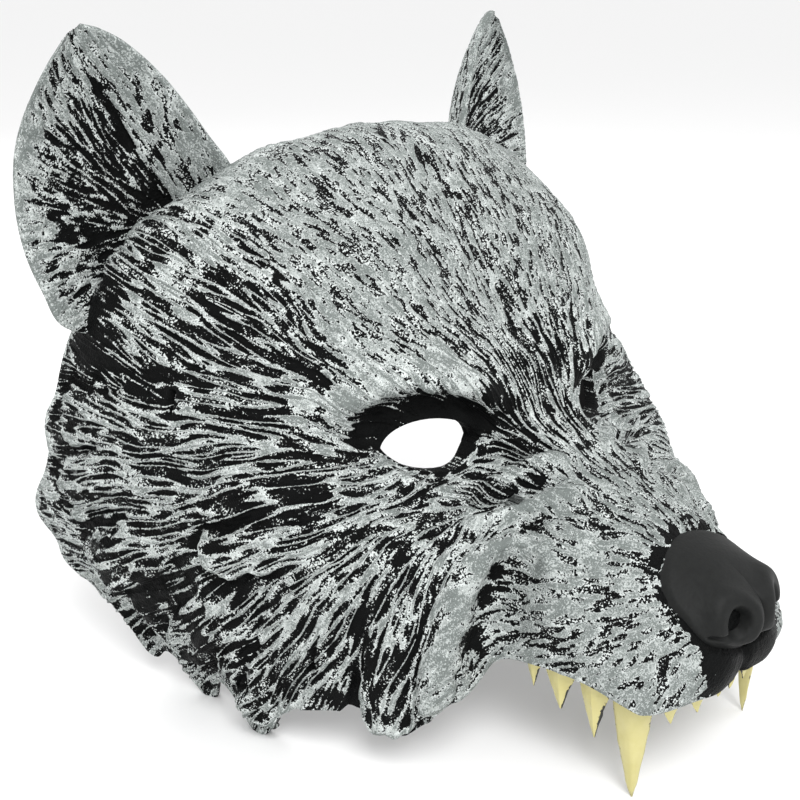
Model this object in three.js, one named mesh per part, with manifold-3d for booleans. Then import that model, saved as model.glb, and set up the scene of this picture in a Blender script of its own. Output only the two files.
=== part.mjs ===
// A moulded half-face wolf mask, standing on the tips of its fangs and of its cheek fur.
// Millimetres, +Z up, the nose towards -Y, the wearer's left side at +X.
import * as THREE from "three";
import { mergeVertices } from "three/addons/utils/BufferGeometryUtils.js";
import Module from "manifold-3d";

const wasm = await Module();
wasm.setup();

// Driving dimensions
const HALF_WIDTH = 118; // middle plane to the widest point of the cheek fur
const CROWN_HEIGHT = 188; // tips of the fangs to the top of the forehead
const FACE_LENGTH = 210; // front of the lip to the rear rim
const SKIN = 2.8; // moulded wall
const SEAT_GAP = 0.3; // between pieces that touch
const FINEST = 0.05; // shorter edges are closed up

const EAR_LENGTH = 64; // seat to tip
const EAR_WIDTH = 70;
const EAR_CUP = 15; // how far the ear is hollowed
const EAR_WALL = 3.2;
const EAR_TURN = 18; // degrees that the ear's hollow faces outwards
const EAR_TILT = 8; // degrees that it faces up
const EAR_SEAT_INNER = { station: 11.85, across: 0.17 }; // where the seat's two ends lie on the skin
const EAR_SEAT_OUTER = { station: 12.1, across: 0.43 };

const EYE_WIDTH = 31;
const EYE_HEIGHT = 17;
const EYE_SPACING = 80; // centre to centre
const EYE_RISE = 96; // above the resting plane
const STRAP_SLOT_WIDTH = 2.6;
const STRAP_SLOT_HEIGHT = 8;
const STRAP_SLOT_PLACE = { back: 145, rise: 113 }; // behind the lip, above the resting plane

const NOSE_WIDTH = 43;
const NOSE_HEIGHT = 28;
const NOSE_DEPTH = 17; // how far back over the muzzle it reaches
const NOSE_RISE = 60.5;
const NOSE_PROUD = 1.2; // over the muzzle's skin
const NOSTRIL_WIDTH = 7;
const NOSTRIL_HEIGHT = 8.5;
const NOSTRIL_DEPTH = 3;
const NOSTRIL_SPACING = 19;

const TOOTH_LENGTH = 16;
const TOOTH_ROOT = 7; // held behind the lip
const TOOTH_TIP = 1.6; // across the blunted tip

// Mesh fineness
const FRONT_ROWS = 5;
const SECTION_ROWS = [2, 2, 2, 3, 3, 4, 4, 4, 3, 3, 3, 2]; // from each section after the first to the next
const COLUMNS = 22; // from the top middle to the lower edge, on each side
const EAR_ROWS = 10;
const EAR_COLUMNS = 12;

// Half sections of the face from the lip back to the rear rim. X, Y and Z columns are shares of
// HALF_WIDTH, FACE_LENGTH and CROWN_HEIGHT; top is the middle line, edge the lower edge.
const SECTION_COLUMNS = [
  "topY", "cheekY", "jowlY", "edgeY", "topZ", "browX", "browZ", "socketX", "socketZ", "cheekX", "cheekZ",
  "jowlX", "jowlZ", "edgeX", "edgeZ",
];
const SECTIONS = [
  [0, 0, 0, 0, 0.33, 0.102, 0.316, 0.161, 0.287, 0.22, 0.25, 0.28, 0.213, 0.314, 0.186],
  [0.048, 0.048, 0.048, 0.048, 0.367, 0.106, 0.356, 0.174, 0.33, 0.25, 0.277, 0.314, 0.229, 0.347, 0.191],
  [0.133, 0.133, 0.133, 0.133, 0.407, 0.11, 0.399, 0.191, 0.372, 0.301, 0.303, 0.356, 0.245, 0.369, 0.21],
  [0.21, 0.21, 0.21, 0.21, 0.444, 0.127, 0.431, 0.229, 0.399, 0.347, 0.319, 0.39, 0.255, 0.407, 0.218],
  [0.267, 0.267, 0.267, 0.267, 0.473, 0.144, 0.463, 0.254, 0.42, 0.381, 0.33, 0.415, 0.245, 0.424, 0.202],
  [0.305, 0.305, 0.3, 0.3, 0.497, 0.153, 0.484, 0.263, 0.426, 0.492, 0.356, 0.551, 0.25, 0.517, 0.154],
  [0.376, 0.376, 0.371, 0.371, 0.537, 0.178, 0.527, 0.288, 0.441, 0.627, 0.388, 0.653, 0.25, 0.627, 0.112],
  [0.414, 0.448, 0.443, 0.443, 0.633, 0.263, 0.622, 0.373, 0.495, 0.729, 0.426, 0.737, 0.245, 0.703, 0.106],
  [0.467, 0.514, 0.514, 0.5, 0.707, 0.398, 0.702, 0.542, 0.58, 0.797, 0.457, 0.788, 0.245, 0.746, 0.09],
  [0.552, 0.6, 0.6, 0.576, 0.835, 0.508, 0.798, 0.678, 0.676, 0.856, 0.489, 0.847, 0.25, 0.763, 0.064],
  [0.657, 0.695, 0.695, 0.652, 0.952, 0.568, 0.867, 0.78, 0.729, 0.907, 0.511, 0.89, 0.261, 0.771, 0.053],
  [0.733, 0.795, 0.805, 0.733, 0.995, 0.627, 0.894, 0.856, 0.755, 0.941, 0.521, 0.932, 0.287, 0.763, 0.053],
  [0.81, 0.886, 0.914, 0.819, 0.992, 0.669, 0.888, 0.881, 0.75, 0.958, 0.521, 0.949, 0.303, 0.805, 0.074],
  [0.89, 0.948, 1, 0.9, 0.941, 0.678, 0.83, 0.873, 0.713, 0.958, 0.516, 0.949, 0.293, 0.873, 0.144],
].map((row) => Object.fromEntries(row.map((value, i) => [SECTION_COLUMNS[i], value])));

// Ridges and hollows pressed into the skin along a line: from and to are its ends in x, y and z, and
// wide and raise are shares of HALF_WIDTH.
const FORMS = {
  brow_ridge_inner: { from: [0.093, 0.367, 0.569], to: [0.356, 0.424, 0.638], wide: 0.076, raise: 0.03 },
  brow_ridge_outer: { from: [0.356, 0.424, 0.628], to: [0.525, 0.49, 0.638], wide: 0.068, raise: 0.017 },
  eye_socket: { from: [0.237, 0.41, 0.511], to: [0.458, 0.471, 0.516], wide: 0.11, raise: -0.038 },
  tear_groove: { from: [0.153, 0.362, 0.489], to: [0.229, 0.41, 0.5], wide: 0.051, raise: -0.034 },
  cheekbone: { from: [0.22, 0.371, 0.426], to: [0.525, 0.476, 0.447], wide: 0.068, raise: 0.025 },
  forehead_groove: { from: [0, 0.438, 0.665], to: [0, 0.629, 0.915], wide: 0.068, raise: -0.025 },
  ruff_edge: { from: [0.492, 0.3, 0.372], to: [0.559, 0.314, 0.128], wide: 0.059, raise: 0.025 },
  lip_pad: { from: [0.305, 0.105, 0.255], to: [0.356, 0.171, 0.277], wide: 0.085, raise: 0.017 },
  snarl_fold: { from: [0.246, 0.219, 0.404], to: [0.381, 0.21, 0.309], wide: 0.051, raise: 0.025 },
  ear_root_hollow: { from: [0.593, 0.81, 0.809], to: [0.729, 0.857, 0.745], wide: 0.136, raise: -0.068 },
};
const COLUMN_STOPS = [0, 0.24, 0.42, 0.64, 0.83, 1]; // where top, brow, socket, cheek, jowl and edge lie across

// The front middle line of nose and lip: across is the place across the section, forward a share of
// FACE_LENGTH by which it stands out.
const FRONT_PROFILE = [
  { across: 0, forward: -0.006 },
  { across: 0.22, forward: 0.012 },
  { across: 0.45, forward: 0.014 },
  { across: 0.6, forward: 0.002 },
  { across: 0.8, forward: 0.006 },
  { across: 1, forward: -0.002 },
];

// Tips of the cheek fur along the lower edge and the rear rim. along runs from the lip (0) down the
// edge to the rear corner (1) and up the rim to the top (2); wide is in the same measure, drop and
// swell are shares of HALF_WIDTH.
const LOCKS = [
  { along: 0.3, wide: 0.03, drop: 0, swell: 0.03 },
  { along: 0.364, wide: 0.035, drop: 0.065, swell: 0.04 },
  { along: 0.592, wide: 0.048, drop: 0.092, swell: 0.045 },
  { along: 0.743, wide: 0.037, drop: 0.096, swell: 0.04 },
  { along: 0.85, wide: 0.03, drop: 0.06, swell: 0.03 },
  { along: 1.07, wide: 0.05, drop: 0.04, swell: 0.02 },
  { along: 1.2, wide: 0.05, drop: 0.04, swell: 0.02 },
  { along: 1.35, wide: 0.04, drop: 0.03, swell: 0.01 },
];
const LOCK_RISE = 0.36; // how far in from the edge a fur tip's swell reaches, as a share of the section

// Teeth of one side, from the middle backwards. Each fills the lip up to the station named in ends;
// thick and length are shares of TOOTH_LENGTH (length 0: down to the resting plane).
const TEETH = [
  { name: "incisor_1", ends: 0.13, thick: 0.24, length: 0.55 },
  { name: "incisor_2", ends: 0.37, thick: 0.26, length: 0.62 },
  { name: "incisor_3", ends: 0.61, thick: 0.28, length: 0.6 },
  { name: "canine", ends: 1.52, thick: 0.45, length: 0 },
  { name: "premolar_1", ends: 2.1, thick: 0.3, length: 1.25 },
  { name: "premolar_2", ends: 2.78, thick: 0.26, length: 0.95 },
  { name: "premolar_3", ends: 3.4, thick: 0.24, length: 0.68 },
];

// The ear in its own plane: rise from seat to tip, inner and outer edge as shares of EAR_WIDTH, and
// how much of EAR_CUP it is hollowed by there.
const EAR_SECTIONS = [
  { rise: -0.24, inner: -0.35, outer: 0.43, cup: 0.6 },
  { rise: 0, inner: -0.45, outer: 0.59, cup: 1 },
  { rise: 0.2, inner: -0.465, outer: 0.55, cup: 1 },
  { rise: 0.4, inner: -0.48, outer: 0.48, cup: 0.95 },
  { rise: 0.6, inner: -0.48, outer: 0.36, cup: 0.8 },
  { rise: 0.8, inner: -0.45, outer: 0.17, cup: 0.5 },
  { rise: 0.93, inner: -0.4, outer: -0.07, cup: 0.22 },
  { rise: 1, inner: -0.35, outer: -0.28, cup: 0.05 },
];

// Smooth curve through (stops, values), a cubic with the mean slope at each stop.
function curveAt(stops, values, at, flatStart = false) {
  const last = stops.length - 1;
  const slope = (i) => {
    if (i === 0) return flatStart ? 0 : (values[1] - values[0]) / (stops[1] - stops[0]);
    if (i === last) return (values[last] - values[last - 1]) / (stops[last] - stops[last - 1]);
    return (values[i + 1] - values[i - 1]) / (stops[i + 1] - stops[i - 1]);
  };
  let i = 0;
  while (i < last - 1 && at > stops[i + 1]) i++;
  const span = stops[i + 1] - stops[i];
  const t = Math.min(1, Math.max(0, (at - stops[i]) / span));
  const [t2, t3] = [t * t, t * t * t];
  return (
    (2 * t3 - 3 * t2 + 1) * values[i] +
    (t3 - 2 * t2 + t) * span * slope(i) +
    (3 * t2 - 2 * t3) * values[i + 1] +
    (t3 - t2) * span * slope(i + 1)
  );
}

const smooth = (t) => {
  const c = Math.min(1, Math.max(0, t));
  return c * c * (3 - 2 * c);
};
const bell = (t) => Math.exp(-t * t);
const SCALE = new THREE.Vector3(HALF_WIDTH, FACE_LENGTH, CROWN_HEIGHT); // of x, y and z shares
const mirrorX = (p) => new THREE.Vector3(-p.x, p.y, p.z);

// Station 0 is the lip, each whole number after it a section. The first step turns the corner from
// the middle line to the full width of the muzzle.
const LAST = SECTIONS.length - 1;
const sectionStops = SECTIONS.map((_, i) => i);
const column = (name, station) => curveAt(sectionStops, SECTIONS.map((s) => s[name]), station);
const corner = (station) => (Math.min(1, station) * Math.PI) / 2;
const turned = (name, station) =>
  station < 1 ? SECTIONS[1][name] * (1 - Math.cos(corner(station))) : column(name, station);

// Base surface, before ridges, hollows and fur tips: across runs from 0 (top) to 1 (edge).
function baseAt(station, across) {
  const x = curveAt(
    COLUMN_STOPS,
    [0, ...["browX", "socketX", "cheekX", "jowlX", "edgeX"].map((n) => column(n, station))],
    across,
  );
  const z = curveAt(
    COLUMN_STOPS,
    ["topZ", "browZ", "socketZ", "cheekZ", "jowlZ", "edgeZ"].map((n) => column(n, station)),
    across,
    true,
  );
  const y = curveAt(
    [0, ...COLUMN_STOPS.slice(3)],
    ["topY", "cheekY", "jowlY", "edgeY"].map((n) => turned(n, station)),
    across,
    true,
  );
  const forward = curveAt(FRONT_PROFILE.map((p) => p.across), FRONT_PROFILE.map((p) => p.forward), across);
  const nearFront = 1 - smooth(station / 1.5);
  return new THREE.Vector3(x * Math.sin(corner(station)), y - forward * nearFront, z).multiply(SCALE);
}

// How much the named forms raise the skin at a point of the base surface.
function raiseAt(p) {
  const nearest = new THREE.Vector3();
  let sum = 0;
  for (const f of Object.values(FORMS)) {
    const [from, to] = [f.from, f.to].map((end) => new THREE.Vector3(...end).multiply(SCALE));
    new THREE.Line3(from, to).closestPointToPoint(p, true, nearest);
    sum += f.raise * HALF_WIDTH * bell(nearest.distanceTo(p) / (f.wide * HALF_WIDTH));
  }
  return sum;
}

// Fur tips: how far the skin is drawn out past the edge, and how far it swells there.
function lockAt(station, across) {
  const back = turned("cheekY", station);
  const low = across >= back; // nearer to the lower edge than to the rear rim
  const along = low ? turned("edgeY", station) : 2 - across;
  let [drop, swell] = [0, 0];
  for (const l of LOCKS) {
    const side = (along - l.along) / l.wide;
    drop += l.drop * bell(side * side); // blunt at its tip
    swell += l.swell * bell(side);
  }
  const fade = 1 - smooth((low ? 1 - across : 1 - back) / LOCK_RISE);
  return { low, drop: drop * fade * fade * HALF_WIDTH, swell: swell * fade * HALF_WIDTH };
}

const stations = [];
for (let i = 0; i < FRONT_ROWS; i++) stations.push(i / FRONT_ROWS);
SECTION_ROWS.forEach((rows, s) => {
  for (let i = 0; i < rows; i++) stations.push(1 + s + i / rows);
});
stations.push(LAST);

// Unit normals of a half grid of points; past the front and the top it goes on mirrored.
function gridNormals(grid) {
  const at = (k, j) => {
    if (k < 0) return mirrorX(at(-k, j));
    if (j < 0) return mirrorX(at(k, -j));
    return grid[Math.min(k, grid.length - 1)][Math.min(j, COLUMNS)];
  };
  return grid.map((row, k) =>
    row.map((_, j) => {
      const along = at(k + 1, j).clone().sub(at(k - 1, j));
      const across = at(k, j + 1).clone().sub(at(k, j - 1));
      return across.cross(along).normalize();
    }),
  );
}

// The moulded outer skin of the half at +X, as a grid of points and their normals.
function skinGrid() {
  const base = stations.map((s) => Array.from({ length: COLUMNS + 1 }, (_, j) => baseAt(s, j / COLUMNS)));
  const normals = gridNormals(base);
  const points = base.map((row, k) =>
    row.map((p, j) => {
      const lock = lockAt(stations[k], j / COLUMNS);
      const inner = lock.low ? row[Math.max(0, j - 1)] : base[Math.max(0, k - 1)][j];
      const out = p.clone().sub(inner).normalize();
      const q = p.clone().addScaledVector(normals[k][j], raiseAt(p) + lock.swell);
      q.addScaledVector(out, lock.drop);
      if (k === 0 || j === 0) q.x = 0;
      return q;
    }),
  );
  return { points, normals: gridNormals(points) };
}

const skin = skinGrid();

// A point and normal of the moulded skin at any station and place across.
function skinAt(station, across) {
  const k0 = Math.min(stations.findLastIndex((s) => s <= station), stations.length - 2);
  const j0 = Math.min(Math.floor(across * COLUMNS), COLUMNS - 1);
  const s = (station - stations[k0]) / (stations[k0 + 1] - stations[k0]);
  const t = across * COLUMNS - j0;
  const blend = (grid) => {
    const [near, far] = [k0, k0 + 1].map((k) => grid[k][j0].clone().lerp(grid[k][j0 + 1], t));
    return near.lerp(far, s);
  };
  return { point: blend(skin.points), normal: blend(skin.normals).normalize() };
}

// The whole skin at a distance outside the moulded surface, as rows from the right edge to the left.
function fullGrid(distance) {
  return skin.points.map((row, k) => {
    const left = row.map((p, j) => {
      const q = p.clone().addScaledVector(skin.normals[k][j], distance);
      if (k === 0 || j === 0) q.x = 0;
      return q;
    });
    return [...left.slice(1).reverse().map(mirrorX), ...left];
  });
}

// Closed mesh from triangles given as lists of three points.
function meshOf(triangles) {
  const flat = new Float32Array(triangles.length * 9);
  triangles.forEach((t, i) => t.forEach((p, c) => flat.set([p.x, p.y, p.z], i * 9 + c * 3)));
  return new THREE.BufferGeometry().setAttribute("position", new THREE.BufferAttribute(flat, 3));
}

const quad = (list, a, b, c, d) => list.push([a, b, c], [a, c, d]);

// Two triangles for each cell of a grid; flip turns them to face the other way.
function sheet(list, grid, flip) {
  for (let i = 0; i + 1 < grid.length; i++)
    for (let j = 0; j + 1 < grid[i].length; j++) {
      const [a, b, c, d] = [grid[i][j], grid[i][j + 1], grid[i + 1][j + 1], grid[i + 1][j]];
      if (flip) quad(list, d, c, b, a);
      else quad(list, a, b, c, d);
    }
}

// Open border of the skin, whose front row is folded on itself: right edge, rear rim, left edge.
function openBorder(grid) {
  const width = grid[0].length - 1;
  return [
    ...grid.map((row) => row[0]),
    ...grid.at(-1).slice(1, width),
    ...grid.map((row) => row[width]).reverse(),
  ];
}

// A wall between two offsets of the skin, closed along its open border.
function skinWall(outside, inside) {
  const [outer, inner] = [fullGrid(outside), fullGrid(inside)];
  const triangles = [];
  sheet(triangles, outer, false);
  sheet(triangles, inner, true);
  const [a, b] = [openBorder(outer), openBorder(inner)];
  for (let i = 0; i + 1 < a.length; i++) quad(triangles, a[i], a[i + 1], b[i + 1], b[i]);
  return solid(meshOf(triangles));
}

// Everything inside the skin, closed by a fan from a point in the hollow.
function skinVolume(outside) {
  const outer = fullGrid(outside);
  const triangles = [];
  sheet(triangles, outer, false);
  const hub = new THREE.Vector3(0, FACE_LENGTH * 0.7, CROWN_HEIGHT * 0.45);
  const rim = openBorder(outer);
  for (let i = 0; i + 1 < rim.length; i++) triangles.push([rim[i], rim[i + 1], hub]);
  return solid(meshOf(triangles));
}

// Closed geometry to a solid that can be cut, and back.
function solid(geometry) {
  const bare = geometry.clone();
  bare.deleteAttribute("normal");
  bare.deleteAttribute("uv");
  const merged = mergeVertices(bare, 1e-3);
  return new wasm.Manifold(
    new wasm.Mesh({
      numProp: 3,
      vertProperties: merged.attributes.position.array,
      triVerts: new Uint32Array(merged.index.array),
    }),
  );
}

function geometryOf(body) {
  const m = body.getMesh();
  const positions = new Float32Array(m.numVert * 3);
  for (let i = 0; i < m.numVert; i++)
    positions.set(m.vertProperties.subarray(i * m.numProp, i * m.numProp + 3), i * 3);
  return new THREE.BufferGeometry()
    .setAttribute("position", new THREE.BufferAttribute(positions, 3))
    .setIndex(new THREE.BufferAttribute(m.triVerts, 1));
}

// Closes up each edge shorter than FINEST, onto its end nearer the middle plane.
function welded(body) {
  const m = body.getMesh();
  const at = (i) => new THREE.Vector3().fromArray(m.vertProperties, i * m.numProp);
  const home = Array.from({ length: m.numVert }, (_, i) => i);
  const find = (i) => (home[i] === i ? i : find(home[i]));
  const corners = Array.from({ length: m.numTri }, (_, t) => [...m.triVerts.subarray(3 * t, 3 * t + 3)]);
  for (const ids of corners)
    for (let k = 0; k < 3; k++) {
      const [p, q] = [find(ids[k]), find(ids[(k + 1) % 3])];
      if (p === q || at(p).distanceTo(at(q)) > FINEST) continue;
      if (Math.abs(at(p).x) <= Math.abs(at(q).x)) home[q] = p;
      else home[p] = q;
    }
  const kept = corners.map((ids) => ids.map(find)).filter(([a, b, c]) => a !== b && b !== c && c !== a);
  return solid(meshOf(kept.map((ids) => ids.map(at))));
}

const largest = (body) =>
  body.decompose().reduce((best, piece) => (piece.volume() > best.volume() ? piece : best));
const placed = (geometry, x, y, z) => solid(geometry.clone().translate(x, y, z));

// The nose: a rounded cap out of the front of the muzzle.
function noseRegion(gap) {
  const ball = new THREE.SphereGeometry(1, 24, 14);
  ball.scale(NOSE_WIDTH / 2 + gap, NOSE_DEPTH + gap, NOSE_HEIGHT / 2 + gap);
  return placed(ball, 0, FACE_LENGTH * 0.01, NOSE_RISE);
}

function nosePad() {
  let pad = largest(skinWall(NOSE_PROUD, -SKIN).intersect(noseRegion(0)));
  for (const side of [-1, 1]) {
    const pit = new THREE.SphereGeometry(1, 12, 8);
    pit.scale(NOSTRIL_WIDTH / 2, NOSTRIL_DEPTH, NOSTRIL_HEIGHT / 2);
    pit.rotateZ(side * 0.5);
    const [x, z] = [(side * NOSTRIL_SPACING) / 2, NOSE_RISE - NOSTRIL_HEIGHT * 0.35];
    pad = pad.subtract(placed(pit, x, frontOf(pad, x, z), z));
  }
  return pad;
}

// The foremost y of a body on the line through (x, z).
function frontOf(body, x, z) {
  const probe = new THREE.BoxGeometry(0.4, FACE_LENGTH, 0.4);
  return body.intersect(placed(probe, x, 0, z)).boundingBox().min[1];
}

// An ear of the +X side, rooted in the skin.
function ear() {
  const inner = skinAt(EAR_SEAT_INNER.station, EAR_SEAT_INNER.across).point;
  const outer = skinAt(EAR_SEAT_OUTER.station, EAR_SEAT_OUTER.across).point;
  const sideways = outer.clone().sub(inner).normalize();
  const [turn, tilt] = [EAR_TURN, EAR_TILT].map(THREE.MathUtils.degToRad);
  const facing = new THREE.Vector3(Math.sin(turn), -Math.cos(turn), Math.sin(tilt));
  facing.addScaledVector(sideways, -facing.dot(sideways)).normalize();
  const up = facing.clone().cross(sideways).normalize();
  const seat = inner.clone().add(outer).multiplyScalar(0.5);
  const rises = EAR_SECTIONS.map((s) => s.rise);
  const at = (name, rise) => curveAt(rises, EAR_SECTIONS.map((s) => s[name]), rise);
  const surface = (wall) => {
    const grid = [];
    for (let i = 0; i <= EAR_ROWS; i++) {
      const rise = rises[0] + ((1 - rises[0]) * i) / EAR_ROWS;
      const [a, b] = [at("inner", rise), at("outer", rise)];
      grid.push([]);
      for (let j = 0; j <= EAR_COLUMNS; j++) {
        const t = (2 * j) / EAR_COLUMNS - 1;
        const hollow = at("cup", rise) * (1 - t * t) * (1 - 0.35 * t);
        const p = seat.clone().addScaledVector(up, rise * EAR_LENGTH);
        p.addScaledVector(sideways, (a + (b - a) * (t + 1) * 0.5) * EAR_WIDTH);
        p.addScaledVector(facing, -hollow * EAR_CUP - wall);
        grid[i].push(p);
      }
    }
    return grid;
  };
  const [front, back] = [surface(0), surface(EAR_WALL)];
  const triangles = [];
  sheet(triangles, front, false);
  sheet(triangles, back, true);
  const ring = (g) => [
    ...g[0],
    ...g.slice(1).map((row) => row.at(-1)),
    ...g.at(-1).slice(0, -1).reverse(),
    ...g.slice(0, -1).reverse().map((row) => row[0]),
  ];
  const [f, b] = [ring(front), ring(back)];
  for (let i = 0; i + 1 < f.length; i++) quad(triangles, f[i + 1], f[i], b[i], b[i + 1]);
  return solid(meshOf(triangles));
}

// A point behind the lip's edge, at a depth behind the skin's inner face.
function lipInside(station, depth) {
  const { point, normal } = skinAt(station, 1);
  return point.addScaledVector(normal.setZ(0).normalize(), -(SKIN + SEAT_GAP + depth));
}

// A tooth of the +X side: a pointed wedge whose root is held behind the lip.
function tooth(t, i) {
  const thick = t.thick * TOOTH_LENGTH;
  const starts = lipInside(i ? TEETH[i - 1].ends : 0, thick / 2);
  const ends = lipInside(t.ends, thick / 2);
  const forward = starts.clone().sub(ends).setZ(0);
  const width = forward.length() - SEAT_GAP;
  forward.normalize();
  const inward = new THREE.Vector3(forward.y, -forward.x, 0);
  const centre = starts.add(ends).multiplyScalar(0.5);
  const length = t.length ? t.length * TOOTH_LENGTH : centre.z;
  const levels = [
    { z: centre.z + TOOTH_ROOT, w: width * 0.6, d: thick * 0.8 },
    { z: centre.z, w: width, d: thick },
    { z: centre.z - length * 0.35, w: width * 0.66, d: thick * 0.8 },
    { z: centre.z - length, w: TOOTH_TIP, d: TOOTH_TIP },
  ];
  const rings = levels.map(({ z, w, d }) =>
    [0, 1, 2, 3, 4, 5, 6, 7].map((i) => {
      const [u, v] = [Math.cos(((i + 0.5) * Math.PI) / 4), Math.sin(((i + 0.5) * Math.PI) / 4)];
      return centre
        .clone()
        .setZ(z)
        .addScaledVector(forward, (u * w) / 1.85)
        .addScaledVector(inward, (v * d) / 1.85);
    }),
  );
  const triangles = [];
  for (let k = 0; k + 1 < rings.length; k++)
    for (let i = 0; i < 8; i++) {
      const [upper, lower, next] = [rings[k], rings[k + 1], (i + 1) % 8];
      quad(triangles, upper[i], upper[next], lower[next], lower[i]);
    }
  for (let i = 1; i < 7; i++) {
    triangles.push([rings[0][0], rings[0][i + 1], rings[0][i]]);
    triangles.push([rings.at(-1)[0], rings.at(-1)[i], rings.at(-1)[i + 1]]);
  }
  return solid(meshOf(triangles));
}

const paint = {
  fur: new THREE.MeshStandardMaterial({ color: 0x6d7070, roughness: 0.6, metalness: 0.15 }),
  nose: new THREE.MeshStandardMaterial({ color: 0x1b1c1b, roughness: 0.55, metalness: 0 }),
  tooth: new THREE.MeshStandardMaterial({ color: 0xc6bf78, roughness: 0.45, metalness: 0 }),
};

let face = skinWall(0, -SKIN);
const mirror = (body) => body.mirror([1, 0, 0]);
const symmetric = (body) => {
  const left = welded(body.trimByPlane([1, 0, 0], 0));
  return left.add(mirror(left));
};

const eyeShape = new THREE.Shape();
{
  const [w, h] = [EYE_WIDTH / 2, EYE_HEIGHT / 2];
  eyeShape.moveTo(-w, 0);
  eyeShape.bezierCurveTo(-w * 0.7, h * 1.25, w * 0.55, h * 1.3, w, h * 0.1);
  eyeShape.bezierCurveTo(w * 0.7, -h * 1.1, -w * 0.6, -h * 1.45, -w, 0);
}
const eyeCutter = new THREE.ExtrudeGeometry(eyeShape, {
  depth: FACE_LENGTH * 0.5,
  bevelEnabled: false,
  curveSegments: 12,
});
eyeCutter.rotateX(Math.PI / 2);
const slotCutter = new THREE.BoxGeometry(HALF_WIDTH, STRAP_SLOT_WIDTH, STRAP_SLOT_HEIGHT);
const eyeHole = placed(eyeCutter, EYE_SPACING / 2, FACE_LENGTH * 0.75, EYE_RISE);
const slot = placed(slotCutter, HALF_WIDTH, STRAP_SLOT_PLACE.back, STRAP_SLOT_PLACE.rise);
const openings = [eyeHole, mirror(eyeHole), slot, mirror(slot), noseRegion(SEAT_GAP)];
for (const opening of openings) face = face.subtract(opening);
face = largest(symmetric(face).trimByPlane([0, 0, 1], 0));

const wallRoom = skinWall(SEAT_GAP, -SKIN - SEAT_GAP);
const rimRoom = wallRoom.translate([0, SEAT_GAP, 0]); // behind the rear rim
const earLeft = largest(ear().subtract(skinVolume(SEAT_GAP)).subtract(wallRoom).subtract(rimRoom));
const teeth = TEETH.map((t, i) => ({ name: t.name, body: largest(tooth(t, i).subtract(wallRoom)) }));

const solids = [
  ["face_shell", face, paint.fur],
  ["ear_left", earLeft, paint.fur],
  ["ear_right", mirror(earLeft), paint.fur],
  ["nose_pad", symmetric(nosePad()), paint.nose],
  ...teeth.flatMap(({ name, body }) => [
    [`${name}_left`, body, paint.tooth],
    [`${name}_right`, mirror(body), paint.tooth],
  ]),
];

const group = new THREE.Group();
group.name = "wolf_mask";
for (const [name, body, material] of solids) {
  const mesh = new THREE.Mesh(geometryOf(body), material);
  mesh.name = name;
  group.add(mesh);
}
// The origin lies on the resting plane, under the middle of the whole.
const box = new THREE.Box3().setFromObject(group);
for (const mesh of group.children)
  mesh.geometry.translate(-(box.min.x + box.max.x) / 2, -(box.min.y + box.max.y) / 2, -box.min.z);

export default group;
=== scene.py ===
"""A moulded half-face wolf mask, black foam with silver dry-brushed fur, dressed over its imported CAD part.

Metres, +Z up, the nose towards -Y, the wearer's left side at +X.
"""

import math
from contextlib import contextmanager

import bmesh
import bpy
import numpy as np
from mathutils import Matrix, Vector


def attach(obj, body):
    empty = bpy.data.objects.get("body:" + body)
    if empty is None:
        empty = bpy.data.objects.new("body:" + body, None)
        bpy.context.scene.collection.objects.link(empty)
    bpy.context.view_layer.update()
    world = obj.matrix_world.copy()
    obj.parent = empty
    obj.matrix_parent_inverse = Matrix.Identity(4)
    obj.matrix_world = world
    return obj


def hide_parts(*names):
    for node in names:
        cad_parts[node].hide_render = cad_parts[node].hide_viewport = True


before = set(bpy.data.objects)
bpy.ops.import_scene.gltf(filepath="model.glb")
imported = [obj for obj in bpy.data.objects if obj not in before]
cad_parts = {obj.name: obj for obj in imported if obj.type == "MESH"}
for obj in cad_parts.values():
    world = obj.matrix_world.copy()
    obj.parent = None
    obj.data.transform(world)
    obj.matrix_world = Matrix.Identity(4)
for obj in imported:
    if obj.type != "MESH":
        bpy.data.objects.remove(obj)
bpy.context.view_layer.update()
bpy.ops.object.select_all(action="DESELECT")

MM = 0.001

# The skin's driving sizes, as in the CAD part
HALF_WIDTH = 118 * MM
CROWN_HEIGHT = 188 * MM
FACE_LENGTH = 210 * MM
LIP_Y = -104.96 * MM  # the front of the lip, in this frame
SKIN = 2.8 * MM
SCALE = np.array([HALF_WIDTH, FACE_LENGTH, CROWN_HEIGHT])

EYE_WIDTH = 31 * MM
EYE_HEIGHT = 17 * MM
EYE_CENTRE = np.array([40, 96]) * MM  # x and z
STRAP_SLOT_SIZE = np.array([2.6, 8]) * MM  # along y and z
STRAP_SLOT_CENTRE = np.array([145 * MM + LIP_Y, 113 * MM])

EAR_LENGTH = 64 * MM
EAR_WIDTH = 70 * MM
EAR_CUP = 15 * MM
EAR_WALL = 3.2 * MM
EAR_TURN = math.radians(18)
EAR_TILT = math.radians(8)
EAR_SEAT = ((11.85, 0.17), (12.1, 0.43))  # station and place across of its two ends

NOSE_CENTRE = np.array([0, 60.5]) * MM  # x and z
NOSE_HALF = np.array([21.5, 14]) * MM
NOSTRIL = np.array([9.5, 57.5]) * MM
NOSTRIL_LEAN = 0.5  # radians

# How finely the fur is carved
GRAIN = 0.62 * MM  # between rows of the skin's mesh
COLUMNS = 396  # from the top middle to the lower edge, on each side
EDGE_STEPS = 6  # round the skin's moulded edge
EDGE_BULGE = 0.7 * MM
PIECE_STATIONS = {"muzzle": (0, 5), "brow": (5, 8), "crown": (8, 10.5), "ruff": (10.5, 13)}
MUZZLE_STRIDE = 3  # the muzzle is narrow, so it uses every third column

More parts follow.
